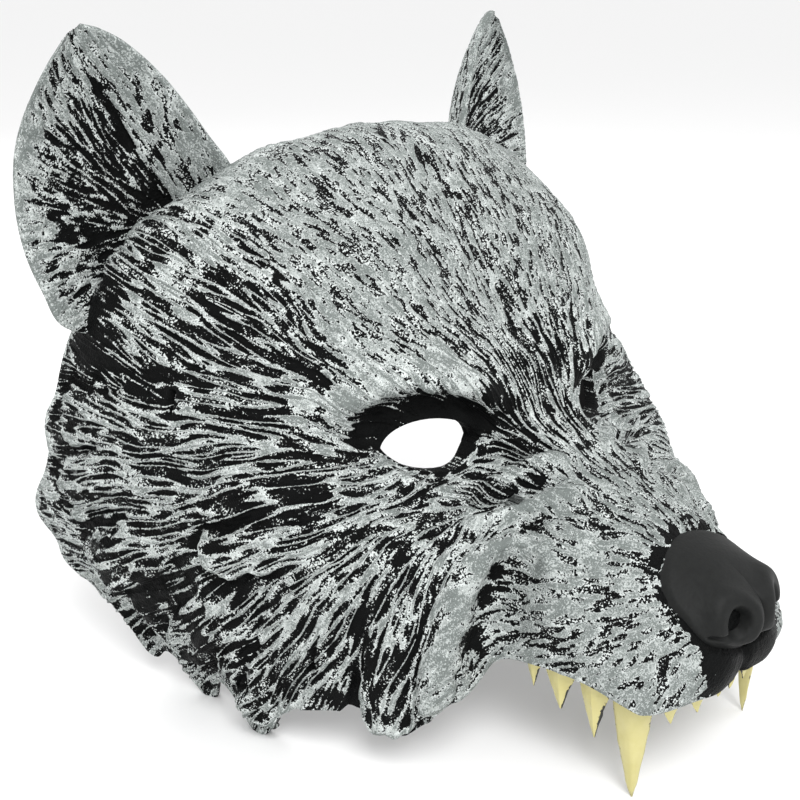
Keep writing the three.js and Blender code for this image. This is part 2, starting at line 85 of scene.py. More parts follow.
# Hair patterns: size of the random values, how far they are drawn out along the hair, and its steps
STROKES = (0.8 * MM, 3.2 * MM, 8)
LONG_LINES = (1.3 * MM, 13 * MM, 22)
TUFTS = (6 * MM, 22 * MM, 12)
EAR_LINES = (0.95 * MM, 8 * MM, 16)

# Where the hair comes from: the point of the muzzle's hair, and the line by the eyes for the rest
HAIR_NOSE = np.array([0, -116, 68]) * MM
HAIR_ROOT_SHARE = 0.42  # of a point's own x
HAIR_ROOT_LIMIT = 38 * MM  # in x
HAIR_ROOT = np.array([-16, 94]) * MM  # y and z

# Where one kind of fur goes over into the next
MUZZLE_START = np.array([-34, -50]) * MM  # y
FOREHEAD_START = np.array([118, 136]) * MM  # z
FOREHEAD_SIDE = np.array([60, 86]) * MM  # x, to either side
EYE_CLEAR = 3.5 * MM  # the skin has no relief beside an opening
LIP_FRONT = np.array([0, -106, 47]) * MM  # the black front of the lip, and its half sizes
LIP_FRONT_HALF = np.array([29, 16, 22]) * MM
RUFF_FRONT = np.array([60, -22, 72]) * MM  # middle of the fuller silver under the eye
RUFF_FRONT_REACH = 26 * MM
NOSE_SINK = 2 * MM  # how deep the skin lies under the nose pad
GLOOM_DEPTH = 1.2 * MM
LOWEST = 0.2 * MM  # the dressed skin stays above the floor
EAR_CREASE_DEPTH = 1.6 * MM

# Half sections of the face from the lip back to the rear rim, in thousandths of HALF_WIDTH, FACE_LENGTH
# and CROWN_HEIGHT; top is the middle line, edge the lower edge.
SECTION_NAMES = (
    "topY cheekY jowlY edgeY topZ browX browZ socketX socketZ cheekX cheekZ jowlX jowlZ edgeX edgeZ"
).split()
SECTIONS = np.array([
    [0, 0, 0, 0, 330, 102, 316, 161, 287, 220, 250, 280, 213, 314, 186],
    [48, 48, 48, 48, 367, 106, 356, 174, 330, 250, 277, 314, 229, 347, 191],
    [133, 133, 133, 133, 407, 110, 399, 191, 372, 301, 303, 356, 245, 369, 210],
    [210, 210, 210, 210, 444, 127, 431, 229, 399, 347, 319, 390, 255, 407, 218],
    [267, 267, 267, 267, 473, 144, 463, 254, 420, 381, 330, 415, 245, 424, 202],
    [305, 305, 300, 300, 497, 153, 484, 263, 426, 492, 356, 551, 250, 517, 154],
    [376, 376, 371, 371, 537, 178, 527, 288, 441, 627, 388, 653, 250, 627, 112],
    [414, 448, 443, 443, 633, 263, 622, 373, 495, 729, 426, 737, 245, 703, 106],
    [467, 514, 514, 500, 707, 398, 702, 542, 580, 797, 457, 788, 245, 746, 90],
    [552, 600, 600, 576, 835, 508, 798, 678, 676, 856, 489, 847, 250, 763, 64],
    [657, 695, 695, 652, 952, 568, 867, 780, 729, 907, 511, 890, 261, 771, 53],
    [733, 795, 805, 733, 995, 627, 894, 856, 755, 941, 521, 932, 287, 763, 53],
    [810, 886, 914, 819, 992, 669, 888, 881, 750, 958, 521, 949, 303, 805, 74],
    [890, 948, 1000, 900, 941, 678, 830, 873, 713, 958, 516, 949, 293, 873, 144],
]) / 1000
LAST = len(SECTIONS) - 1
COLUMN_STOPS = [0, 0.24, 0.42, 0.64, 0.83, 1]

# How far the middle line of nose and lip stands forward, by place across.
FRONT_ACROSS = [0, 0.22, 0.45, 0.6, 0.8, 1]
FRONT_FORWARD = [-0.006, 0.012, 0.014, 0.002, 0.006, -0.002]

# Ridges and hollows along a line: its two ends in x, y and z, then its width and its rise, both as
# shares of HALF_WIDTH.
FORMS = {
    "brow ridge, inner": ((0.093, 0.367, 0.569), (0.356, 0.424, 0.638), 0.076, 0.03),
    "brow ridge, outer": ((0.356, 0.424, 0.628), (0.525, 0.49, 0.638), 0.068, 0.017),
    "eye socket": ((0.237, 0.41, 0.511), (0.458, 0.471, 0.516), 0.11, -0.038),
    "tear groove": ((0.153, 0.362, 0.489), (0.229, 0.41, 0.5), 0.051, -0.034),
    "cheekbone": ((0.22, 0.371, 0.426), (0.525, 0.476, 0.447), 0.068, 0.025),
    "forehead groove": ((0, 0.438, 0.665), (0, 0.629, 0.915), 0.068, -0.025),
    "ruff edge": ((0.492, 0.3, 0.372), (0.559, 0.314, 0.128), 0.059, 0.025),
    "lip pad": ((0.305, 0.105, 0.255), (0.356, 0.171, 0.277), 0.085, 0.017),
    "snarl fold": ((0.246, 0.219, 0.404), (0.381, 0.21, 0.309), 0.051, 0.025),
    "ear root hollow": ((0.593, 0.81, 0.809), (0.729, 0.857, 0.745), 0.136, -0.068),
}

# Tips of the cheek fur along the edge (0 lip, 1 rear corner, 2 top of the rim): place, width in the
# same measure, then drop and swell as shares of HALF_WIDTH.
LOCKS = [
    (0.3, 0.03, 0, 0.03),
    (0.364, 0.035, 0.065, 0.04),
    (0.592, 0.048, 0.092, 0.045),
    (0.743, 0.037, 0.096, 0.04),
    (0.85, 0.03, 0.06, 0.03),
    (1.07, 0.05, 0.04, 0.02),
    (1.2, 0.05, 0.04, 0.02),
    (1.35, 0.04, 0.03, 0.01),
]
LOCK_RISE = 0.36

# Teeth of one side, from the middle backwards: name, station where its span ends, thickness and length.
TEETH = [
    ("incisor_1", 0.13, 3.8 * MM, 8.8 * MM),
    ("incisor_2", 0.37, 4.2 * MM, 9.9 * MM),
    ("incisor_3", 0.61, 4.5 * MM, 9.6 * MM),
    ("canine", 1.52, 7.2 * MM, None),
    ("premolar_1", 2.1, 4.8 * MM, 20 * MM),
    ("premolar_2", 2.78, 4.2 * MM, 15.2 * MM),
    ("premolar_3", 3.4, 3.8 * MM, 10.9 * MM),
]
TOOTH_GAP = 0.3 * MM
TOOTH_ROOT = 7 * MM
TOOTH_RINGS = 16
TOOTH_BEND = 0.04  # forwards at the tip, as a share of the length
TOOTH_ROUGHNESS = 0.5 * MM

# The ear in its own plane: rise from seat to tip, its two edges as shares of EAR_WIDTH, and its cup.
EAR_RISES = [-0.24, 0, 0.2, 0.4, 0.6, 0.8, 0.93, 1]
EAR_INNER = [-0.35, -0.45, -0.465, -0.48, -0.48, -0.45, -0.4, -0.35]
EAR_OUTER = [0.43, 0.59, 0.55, 0.48, 0.36, 0.17, -0.07, -0.28]
EAR_CUPS = [0.6, 1, 1, 0.95, 0.8, 0.5, 0.22, 0.05]

# Finer ridges and hollows of the left side: their line in x, y and z, half width and rise, in mm.
FOLDS = {
    "brow lip": ([
        (66, 2, 113), (57, -5, 118), (49, -10, 119), (41, -15, 118), (31, -19, 115), (25, -22, 110),
    ], 4.6, 3.2),
    "socket": ([(60, 0, 104), (50, -7, 108), (39, -14, 109), (29, -19, 106), (26, -18, 98)], 5.5, -3.6),
    "lower lid": ([(60, -5, 95), (55, -11, 88), (47, -20, 84), (38, -22, 84), (30, -20, 88)], 3, 1.9),
    "upper fold": ([(50, -32, 75), (44, -34, 77), (35, -39, 79), (26, -46, 83), (16, -53, 85)], 2.8, 3),
    "under the fold": ([(46, -38, 73), (36, -44, 75), (26, -51, 79)], 2.4, -2.6),
    "middle fold": ([(42, -26, 80), (34, -27, 85), (26, -30, 88), (16, -39, 92), (9, -44, 92)], 2.4, 2.4),
    "between the folds": ([(38, -30, 80), (30, -34, 83), (21, -41, 87)], 2, -2),
    "lip bump": ([(37, -50, 72), (36, -56, 71), (39, -62, 67), (41, -65, 62), (44, -64, 57)], 3.4, 3.4),
    "mouth corner": ([(46, -46, 68), (51, -48, 60), (55, -49, 50), (58, -48, 44)], 5, -3.2),
    "ruff front": ([
        (40, -44, 74), (46, -43, 72), (53, -42, 69), (61, -42, 62), (66, -43, 54), (69, -43, 46),
        (70, -41, 36), (71, -39, 26),
    ], 4.2, 4),
    "lip cleft": ([(0, -105, 52), (0, -104, 36)], 2.4, -2.6),
    "lip lobe": ([(11, -104, 47), (14, -102, 40)], 7, 2.2),
    "ear root": ([(42, 58, 176), (60, 58, 170), (80, 64, 160), (96, 72, 146)], 11, 4),
    "slot ridge": ([(104, 31, 112), (92, 26, 115), (84, 20, 115)], 2.6, 1.5),
    "temple": ([(78, 10, 116), (66, 2, 114)], 5, 1.6),
}

# Raised locks of the cheek fur: root and tip in x, y and z, half width and rise, in mm.
TONGUES = [
    ((106, 34, 77), (110, 80, 43), 11, 3.4),
    ((83, -10, 83), (105, 26, 64), 9, 3),
    ((100, 18, 55), (101, 50, 17), 10, 3.6),
    ((90, -8, 66), (92, 14, 4), 11, 3.6),
    ((84, -20, 58), (84, -4, 10), 8, 2.6),
    ((76, -31, 62), (77, -29, 13), 10, 3.6),
    ((66, -42, 62), (70, -41, 26), 7, 2.2),
    ((104, 30, 100), (114, 90, 72), 12, 2.4),
    ((100, 26, 112), (113, 88, 98), 11, 2),
]

# Smooth silver places where the brush went over everything: x, y, z and radius.
SILVER_PATCHES = np.array([
    (57, -5, 120, 7), (49, -10, 122, 7), (41, -14, 121, 7), (34, -18, 117, 6), (76, 9, 115, 7),
    (66, 1, 115, 7), (38, -14, 127, 7), (45, 0, 140, 4), (93, 50, 149, 8), (84, 44, 156, 7),
    (76, 44, 160, 6), (101, 35, 115, 5), (92, 28, 116, 5), (110, 79, 43, 7), (101, 50, 17, 6),
    (91, 13, 5, 6), (77, -30, 15, 6), (69, -43, 30, 5), (104, 25, 64, 5), (31, -42, 80, 6),
    (22, -50, 84, 6), (27, -66, 74, 7), (40, -58, 70, 5), (114, 98, 70, 7), (115, 97, 86, 6),
    (62, -43, 61, 4), (60, 84, 172, 8), (48, 80, 176, 7), (25, -31, 88, 4), (46, -43, 72, 4),
    (54, -42, 69, 4), (67, -44, 52, 4), (69, -43, 44, 4), (16, -39, 92, 4), (44, -34, 77, 4),
    (35, -39, 79, 4), (58, -6, 94, 3.5), (53, -12, 88, 3.5), (45, -22, 83, 3.5), (37, -22, 84, 3.5),
]) * MM
# Places that stay black: the same.
BLACK_PLACES = np.array([
    (45, -11, 107, 8), (34, -17, 106, 7), (54, -4, 104, 8), (27, -19, 100, 7), (40, -14, 101, 9),
    (62, -1, 101, 5), (47, -47, 66, 4), (52, -49, 58, 5), (56, -49, 47, 5), (24, -23, 112, 5),
    (19, -23, 107, 4), (51, -14, 91, 3), (43, -19, 88, 3), (35, -20, 88, 3.5), (27, -20, 93, 4),
    (33, -45, 75, 2.5), (29, -35, 84, 2.5), (22, -41, 87, 2), (42, -40, 74, 2), (108, 81, 139, 13),
    (108, 76, 127, 13), (102, 71, 140, 11), (108, 60, 39, 9), (106, 50, 46, 7), (97, 42, 20, 8),
    (102, 30, 36, 6), (84, -14, 24, 5), (88, 24, 22, 5), (110, 98, 112, 10), (70, -30, 20, 4),
]) * MM


# Curves and noise


def curve(stops, values, at, flat_start=False):
    """Smooth curve through (stops, values) with the mean slope at each stop; values may have rows."""
    stops, values, at = np.asarray(stops, float), np.asarray(values, float), np.asarray(at, float)
    spans = np.diff(stops)
    slopes = np.empty_like(values)
    slopes[..., 1:-1] = (values[..., 2:] - values[..., :-2]) / (stops[2:] - stops[:-2])
    slopes[..., 0] = 0 if flat_start else (values[..., 1] - values[..., 0]) / spans[0]
    slopes[..., -1] = (values[..., -1] - values[..., -2]) / spans[-1]
    i = np.clip(np.searchsorted(stops, at) - 1, 0, len(spans) - 1)
    span = spans[i]
    t = np.clip((at - stops[i]) / span, 0, 1)
    t2, t3 = t * t, t * t * t
    return (
        (2 * t3 - 3 * t2 + 1) * values[..., i]
        + (t3 - 2 * t2 + t) * span * slopes[..., i]
        + (3 * t2 - 2 * t3) * values[..., i + 1]
        + (t3 - t2) * span * slopes[..., i + 1]
    )


def smooth(low, high, value):
    t = np.clip((value - low) / (high - low), 0, 1)
    return t * t * (3 - 2 * t)


def bell(t):
    return np.exp(-t * t)


def unit(vectors):
    return vectors / np.maximum(np.linalg.norm(vectors, axis=-1, keepdims=True), 1e-12)


def noise(points, size, seed):
    """Smooth random values from 0 to 1 on a lattice of that size."""
    table = np.random.default_rng(seed).random((32, 32, 32))
    q = points / size + seed * 7.31
    whole = np.floor(q).astype(int)
    f = q - whole
    f = f * f * (3 - 2 * f)
    total = 0
    for corner in np.ndindex(2, 2, 2):
        weight = np.where(corner, f, 1 - f).prod(-1)
        i, j, k = np.moveaxis((whole + corner) % 32, -1, 0)
        total = total + weight * table[i, j, k]
    return total


def sampled(values, rows, columns):
    """Values of a grid between its points."""
    r = np.clip(rows, 0, values.shape[0] - 1.001)
    c = np.clip(columns, 0, values.shape[1] - 1.001)
    r0, c0 = r.astype(int), c.astype(int)
    fr, fc = r - r0, c - c0
    return (
        values[r0, c0] * (1 - fr) * (1 - fc)
        + values[r0, c0 + 1] * (1 - fr) * fc
        + values[r0 + 1, c0] * fr * (1 - fc)
        + values[r0 + 1, c0 + 1] * fr * fc
    )


def combed(values, points, flow, reach, steps):
    """Values drawn out along the flow over a surface grid, as strands of hair are: mean 0, spread 1."""
    along, across = np.gradient(points, axis=0), np.gradient(points, axis=1)
    aa, ab, bb = (along**2).sum(-1), (along * across).sum(-1), (across**2).sum(-1)
    fa, fb = (flow * along).sum(-1), (flow * across).sum(-1)
    det = np.maximum(aa * bb - ab * ab, 1e-18)
    rows, columns = (fa * bb - fb * ab) / det, (fb * aa - fa * ab) / det
    length = np.sqrt(rows**2 * aa + 2 * rows * columns * ab + columns**2 * bb) + 1e-9
    step = reach / steps
    rows = np.clip(rows / length * step, -6, 6)
    columns = np.clip(columns / length * step, -12, 12)
    here = np.indices(values.shape).astype(float)
    total, weights = values.copy(), 1.0
    for way in (1, -1):
        r, c = here[0].copy(), here[1].copy()
        for n in range(steps):
            r, c = r + way * sampled(rows, r, c), c + way * sampled(columns, r, c)
            weight = 0.5 + 0.5 * math.cos(math.pi * (n + 1) / (steps + 1))
            total += weight * sampled(values, r, c)
            weights += weight
    total /= weights
    return (total - total.mean()) / total.std()


def hair(pattern, points, flow, seed):
    """One of the hair patterns, as combed noise."""
    size, reach, steps = pattern
    return combed(noise(points, size, seed), points, flow, reach, steps)


# The moulded skin


def section(name, stations):
    return curve(range(LAST + 1), SECTIONS[:, SECTION_NAMES.index(name)], stations)


def turned(name, stations):
    """A y column, which turns the corner from the middle line to the muzzle's side over the first step."""
    corner = np.minimum(stations, 1) * math.pi / 2
    start = SECTIONS[1, SECTION_NAMES.index(name)] * (1 - np.cos(corner))
    return np.where(stations < 1, start, section(name, stations))


def base_surface(stations, across):
    stations = np.asarray(stations, float)
    zero = np.zeros_like(stations)
    xs = [zero] + [section(n, stations) for n in ("browX", "socketX", "cheekX", "jowlX", "edgeX")]
    ys = [turned(n, stations) for n in ("topY", "cheekY", "jowlY", "edgeY")]
    zs = [section(n, stations) for n in ("topZ", "browZ", "socketZ", "cheekZ", "jowlZ", "edgeZ")]
    x = curve(COLUMN_STOPS, np.stack(xs, -1), across)
    y = curve([0] + COLUMN_STOPS[3:], np.stack(ys, -1), across, True)
    z = curve(COLUMN_STOPS, np.stack(zs, -1), across, True)
    forward = curve(FRONT_ACROSS, FRONT_FORWARD, across)
    near_front = 1 - smooth(0, 1.5, stations)
    x = x * np.sin(np.minimum(stations, 1) * math.pi / 2)[:, None]
    return np.stack([x, y - forward * near_front[:, None], z], -1) * SCALE


def form_rise(points):
    """How far the named forms raise the skin, at points in shares' own place (y from the lip)."""
    total = 0
    for start, end, wide, rise in FORMS.values():
        a, b = np.array(start) * SCALE, np.array(end) * SCALE
        t = np.clip(((points - a) @ (b - a)) / ((b - a) @ (b - a)), 0, 1)
        gap = np.linalg.norm(points - (a + t[..., None] * (b - a)), axis=-1)
        total = total + rise * HALF_WIDTH * bell(gap / (wide * HALF_WIDTH))
    return total


def grid_normals(points):
    """Unit normals of the whole grid, which goes on mirrored past its front row."""
    before = points[1:2] * [-1, 1, 1]
    along = np.concatenate([points[1:], points[-1:]]) - np.concatenate([before, points[:-1]])
    across = np.gradient(points, axis=1)
    return unit(np.cross(across, along))


def both_sides(half):
    """The whole grid from its left half, as columns from the right edge over the top to the left edge."""
    mirror = half[:, :0:-1] * (np.array([-1, 1, 1]) if half.ndim == 3 else 1)
    return np.concatenate([mirror, half], 1)


def moulded(stations, columns):
    """The skin's outer surface before its fur, as points and normals of the whole grid."""
    across = np.linspace(0, 1, columns + 1)
    half = base_surface(stations, across)
    whole = both_sides(half)
    normals = grid_normals(whole)
    back = turned("cheekY", stations)[:, None]
    low = across[None, :] >= back
    along = np.where(low, turned("edgeY", stations)[:, None], 2 - across[None, :])
    inward = 1 - np.where(low, across[None, :], np.broadcast_to(back, along.shape))
    fade = 1 - smooth(0, LOCK_RISE, inward)
    drop, swell = np.zeros_like(along), np.zeros_like(along)
    for place, wide, lock_drop, lock_swell in LOCKS:
        side = (along - place) / wide
        drop += lock_drop * bell(np.abs(side) ** 1.5)
        swell += lock_swell * bell(side)
    down = unit(np.gradient(half, axis=1))
    rearward = unit(np.gradient(half, axis=0))
    out = both_sides(np.where(low[..., None], down, rearward))
    drop, swell = both_sides(drop * fade * fade), both_sides(swell * fade)
    rise = both_sides(form_rise(half)) + swell * HALF_WIDTH
    whole = whole + normals * rise[..., None] + out * (drop * HALF_WIDTH)[..., None]
    if stations[0] == 0:
        whole[0, :, 0] = 0
    whole[:, columns, 0] = 0
    whole[..., 1] += LIP_Y
    return whole, grid_normals(whole)


def even_stations(start, end):
    """Stations between two places whose rows lie one GRAIN apart where they are widest."""
    fine = np.linspace(start, end, 200)
    gaps = np.linalg.norm(np.diff(base_surface(fine, np.linspace(0, 1, 12)), axis=0), axis=-1).max(1)
    path = np.concatenate([[0], np.cumsum(gaps)])
    return np.interp(np.linspace(0, path[-1], int(path[-1] / GRAIN) + 1), path, fine)


def fur_flow(points, normals):
    """The way the hair lies: back from the nose on the muzzle, outwards from by the eyes behind it."""
    x, y, z = points[..., 0], points[..., 1], points[..., 2]
    nose = unit(points - HAIR_NOSE)
    root = points.copy()
    root[..., 0] = np.clip(HAIR_ROOT_SHARE * x, -HAIR_ROOT_LIMIT, HAIR_ROOT_LIMIT)
    root[..., 1:] = HAIR_ROOT
    away = points - root
    blend = smooth(4 * MM, 16 * MM, np.linalg.norm(away, axis=-1)) * smooth(-52 * MM, -34 * MM, y)
    blend = blend * smooth(5 * MM, 20 * MM, np.abs(x))
    before_eye = smooth(-14 * MM, -28 * MM, y) * smooth(74 * MM, 84 * MM, z)
    blend = blend * (1 - before_eye * smooth(118 * MM, 108 * MM, z))
    flow = nose * (1 - blend[..., None]) + unit(away) * blend[..., None]
    flow = unit(flow - (flow * normals).sum(-1, keepdims=True) * normals)
    side = np.cross(normals, flow)
    turn = 0.5 * (noise(points, 18 * MM, 3) - 0.5) + 0.4 * (noise(points, 6 * MM, 4) - 0.5)
    return flow * np.cos(turn)[..., None] + side * np.sin(turn)[..., None]


def folded(points):
    """The points of both sides laid over the left side."""
    return np.abs(points) * [1, 0, 0] + points * [0, 1, 1]


def along_segment(points, a, b):
    """Share of the way from a to b that the points lie at, and their distance from it."""
    t = np.clip(((points - a) @ (b - a)) / ((b - a) @ (b - a)), 0, 1)
    return t, np.linalg.norm(points - (a + t[..., None] * (b - a)), axis=-1)


def fold_rise(points):
    """How far the finer folds raise the skin."""
    points, total = folded(points), 0
    for line, wide, rise in FOLDS.values():
        line = np.array(line) * MM
        gap = np.min([along_segment(points, a, b)[1] for a, b in zip(line, line[1:])], axis=0)
        total = total + rise * MM * bell(gap / (wide * MM))
    return total


def tongue_rise(points):
    """Height of the raised locks, which end round and steep at their tips; the hollow beside them, also
    painted as shade; and a painted highlight round their tips.
    """
    points, height, gloom, lit = folded(points), 0, 0, 0
    for root, tip, wide, rise in TONGUES:
        root, tip, wide = np.array(root) * MM, np.array(tip) * MM, wide * MM
        length = np.linalg.norm(tip - root)
        axis = (tip - root) / length
        along = (points - root) @ axis
        aside = np.linalg.norm(points - root - along[..., None] * axis, axis=-1)
        past = np.maximum(along - (length - wide), 0)
        ragged = 1 + 0.55 * (noise(points, 4.5 * MM, 21) - 0.5)
        gap = np.hypot(aside, past) / (wide * ragged)
        grown = smooth(0, 0.75 * length, along)
        body = (1 - smooth(0.72, 1.02, gap)) * grown
        height = np.maximum(height, rise * MM * body)
        beside = smooth(0.85, 1.05, gap) * (1 - smooth(1.1, 1.6, gap))
        gloom = np.maximum(gloom, beside * grown * (along > 0))
        lit = np.maximum(lit, bell((gap - 0.78) / 0.16) * smooth(0.5 * length, 0.9 * length, along))
    return height, gloom * (1 - smooth(0.2 * MM, 1.4 * MM, height)), lit


def carved(lines, strokes, long):
    """Height of the carved hair, from 0 to 1: thin crests where it is long, short strokes elsewhere."""
    crest, stroke = bell(lines / 0.6), smooth(-0.9, 0.9, strokes)
    return crest * (0.18 + 0.55 * long) + stroke * (0.68 - 0.36 * long)


def near_places(points, places):
    """How deep the points lie in any of the places, which are on both sides of the face."""
    points, total = folded(points), 0
    for place in places:
        total = np.maximum(total, bell(np.linalg.norm(points - place[:3], axis=-1) / place[3]))
    return total


def almond(count=96):
    """Outline of the left eye hole, as x and z."""
    w, h = EYE_WIDTH / 2, EYE_HEIGHT / 2
    arcs = [
        [(-w, 0), (-w * 0.7, h * 1.25), (w * 0.55, h * 1.3), (w, h * 0.1)],
        [(w, h * 0.1), (w * 0.7, -h * 1.1), (-w * 0.6, -h * 1.45), (-w, 0)],
    ]
    t = np.linspace(0, 1, count // 2, endpoint=False)[:, None]
    parts = [
        (1 - t) ** 3 * a + 3 * t * (1 - t) ** 2 * b + 3 * t * t * (1 - t) * c + t**3 * d
        for a, b, c, d in np.array(arcs)
    ]
    return np.concatenate(parts) + EYE_CENTRE


def outline_gap(flat, outline):
    """Signed distance of flat points to a closed outline (below 0 inside) and their nearest points on it."""
    a, b = outline, np.roll(outline, -1, 0)
    ab = b - a
    best = np.full(flat.shape[:-1], np.inf)
    nearest = np.zeros_like(flat)
    inside = np.zeros(flat.shape[:-1], bool)
    for start, end, edge in zip(a, b, ab):
        t = np.clip(((flat - start) @ edge) / max(edge @ edge, 1e-18), 0, 1)
        q = start + t[..., None] * edge
        gap = np.linalg.norm(flat - q, axis=-1)
        closer = gap < best
        best = np.where(closer, gap, best)
        nearest = np.where(closer[..., None], q, nearest)
        crosses = (start[1] > flat[..., 1]) != (end[1] > flat[..., 1])
        rise = np.where(abs(edge[1]) < 1e-12, 1e-12, edge[1])
        inside ^= crosses & (flat[..., 0] < start[0] + (flat[..., 1] - start[1]) / rise * edge[0])
    return np.where(inside, -best, best), nearest


def slot_outline(count=40):
    """Outline of the strap slot, as y and z."""
    angle = np.linspace(0, 2 * math.pi, count, endpoint=False)
    c, s = np.cos(angle), np.sin(angle)
    return STRAP_SLOT_CENTRE + np.stack(
        [np.sign(c) * np.abs(c) ** 0.4, np.sign(s) * np.abs(s) ** 0.4], -1) * STRAP_SLOT_SIZE / 2


# Each opening: its outline, the two axes it is drawn on, the axis it is cut along, and its side.
OPENINGS = [
    (almond(), (0, 2), 1, 1), (almond() * [-1, 1], (0, 2), 1, -1),
    (slot_outline(), (1, 2), 0, 1), (slot_outline(), (1, 2), 0, -1),
]
OPENINGS_BEFORE = 60 * MM  # in y: nothing behind this belongs to an opening


def snapped_to_openings(points, normals, reach):
    """Moves the points nearest to an opening's outline onto it, along the surface.

    Returns the points and, for each, its distance outside the nearest opening."""
    points = points.copy()
    clear = np.full(points.shape[:-1], 1.0)
    for outline, axes, through, side in OPENINGS:
        middle = outline.mean(0)
        radius = np.linalg.norm(outline - middle, axis=1).max() + 8 * MM
        near = np.linalg.norm(points[..., axes] - middle, axis=-1) < radius
        near &= (points[..., 0] * side > 0) & (points[..., 1] < OPENINGS_BEFORE)
        flat, n = points[near][:, axes], normals[near]
        gap, nearest = outline_gap(flat, outline)
        move = np.zeros((len(flat), 3))
        move[:, axes] = nearest - flat
        slope = np.where(np.abs(n[:, through]) < 0.2, 0.2 * np.sign(n[:, through] + 1e-9), n[:, through])
        move[:, through] = np.clip(-(n[:, axes] * (nearest - flat)).sum(1) / slope, -reach * 2, reach * 2)
        snap = (gap > -reach * 1.3) & (gap < reach * 0.4)
        points[near] += move * snap[:, None]
        clear[near] = np.minimum(clear[near], np.where(snap, 0, gap))
    return points, clear


def with_rolled_end(points, normals, values):
    """The grid and the values kept on it, with the skin's edge turned over to its inner face at the end."""
    out = points[-1] - points[-2]
    out = unit(out - (out * normals[-1]).sum(-1, keepdims=True) * normals[-1])
    rows, lean = [], []
    for n in range(1, EDGE_STEPS + 1):
        angle = math.pi * n / EDGE_STEPS
        inward = SKIN * 0.5 * (1 - math.cos(angle))
        rows.append(points[-1] - normals[-1] * inward + out * EDGE_BULGE * math.sin(angle))
        lean.append(unit(normals[-1] * math.cos(angle) + out * math.sin(angle)))
    fade = np.linspace(0, 1, EDGE_STEPS + 1)[1:, None]
    values = {
        key: np.concatenate([field, field[-1:] * (1 - fade) + (key == "clear") * fade])
        for key, field in values.items()
    }
    return np.concatenate([points, rows]), np.concatenate([normals, lean]), values


def turned_round(points, normals, values):
    """The grid with rows and columns exchanged."""
    return points.swapaxes(0, 1), normals.swapaxes(0, 1), {key: field.T for key, field in values.items()}


def sheet(name, points, attributes, normals=None):
    """A primitive grid, laid over the points, with values kept at its vertices."""
    rows, columns = points.shape[:2]
    bpy.ops.mesh.primitive_grid_add(x_subdivisions=columns - 1, y_subdivisions=rows - 1, size=1)
    piece = bpy.context.object
    piece.name = name
    mesh = piece.data
    at = np.empty(len(mesh.vertices) * 3)
    mesh.vertices.foreach_get("co", at)
    at = at.reshape(-1, 3)
    order = np.lexsort((at[:, 0].round(6), at[:, 1].round(6)))

    def stored(values):
        kept = np.empty_like(values)
        kept[order] = values
        return kept.ravel()

    mesh.vertices.foreach_set("co", stored(points.reshape(-1, 3)))
    for key, values in attributes.items():
        mesh.attributes.new(key, "FLOAT", "POINT").data.foreach_set("value", stored(values.ravel()))
    if normals is not None:
        lie = mesh.attributes.new("lie", "FLOAT_VECTOR", "POINT")
        lie.data.foreach_set("vector", stored(normals.reshape(-1, 3)))
    mesh.update()
    return piece


@contextmanager
def editing(piece):
    """Edit mode, on this piece alone."""
    bpy.ops.object.select_all(action="DESELECT")
    piece.select_set(True)
    bpy.context.view_layer.objects.active = piece
    bpy.ops.object.mode_set(mode="EDIT")
    yield
    bpy.ops.object.mode_set(mode="OBJECT")


def without_openings(piece):
    """Deletes the faces that lie inside the openings."""
    mesh = piece.data
    clear = np.empty(len(mesh.vertices))
    mesh.attributes["clear"].data.foreach_get("value", clear)
    corners = np.empty(len(mesh.polygons) * 4, int)
    mesh.polygons.foreach_get("vertices", corners)
    inside = clear[corners.reshape(-1, 4)].max(1) <= 1e-7
    if not inside.any():
        return
    bpy.context.tool_settings.mesh_select_mode = (False, False, True)
    with editing(piece):
        bpy.ops.mesh.select_all(action="DESELECT")
    mesh.polygons.foreach_set("select", inside)
    with editing(piece):
        bpy.ops.mesh.delete(type="FACE")


def deepened_openings(piece):
    """Draws the edges of the openings straight in, as the cut through the skin shows."""
    bpy.context.tool_settings.mesh_select_mode = (False, True, False)
    for outline, axes, through, side in OPENINGS:
        middle = outline.mean(0)
        radius = np.linalg.norm(outline - middle, axis=1).max() + 1.5 * MM
        depth = Vector((-side * 3.2 * MM, 0, 0)) if through == 0 else Vector((0, 4.6 * MM, 0))
        with editing(piece):
            bpy.ops.mesh.select_all(action="DESELECT")
            shape = bmesh.from_edit_mesh(piece.data)
            found = False
            for edge in shape.edges:
                if not edge.is_boundary:
                    continue
                place = (edge.verts[0].co + edge.verts[1].co) / 2
                near = math.hypot(place[axes[0]] - middle[0], place[axes[1]] - middle[1]) < radius
                if near and place.x * side > 0 and place.y < OPENINGS_BEFORE:
                    edge.select = True
                    found = True
            bmesh.update_edit_mesh(piece.data)
            if found:
                bpy.ops.mesh.extrude_region_move(TRANSFORM_OT_translate={"value": depth})


def joined(piece, outwards=False):
    """Merges vertices that lie on each other, and turns the faces outwards if asked."""
    bpy.context.tool_settings.mesh_select_mode = (True, False, False)
    with editing(piece):
        bpy.ops.mesh.select_all(action="SELECT")
        bpy.ops.mesh.remove_doubles(threshold=0.01 * MM)
        if outwards:
            bpy.ops.mesh.normals_make_consistent(inside=False)


def keep_lie(piece):
    """Shades the piece with the normals of the whole skin, so its seams don't show."""
    mesh = piece.data
    lie = np.empty(len(mesh.vertices) * 3)
    mesh.attributes["lie"].data.foreach_get("vector", lie)
    mesh.shade_smooth()
    mesh.normals_split_custom_set_from_vertices(lie.reshape(-1, 3).tolist())
    mesh.attributes.remove(mesh.attributes["lie"])


def finish_piece(piece, material, slot, *nodes):
    piece.data.materials.append(material)
    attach(piece, "root")
    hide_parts(*nodes)


# Materials


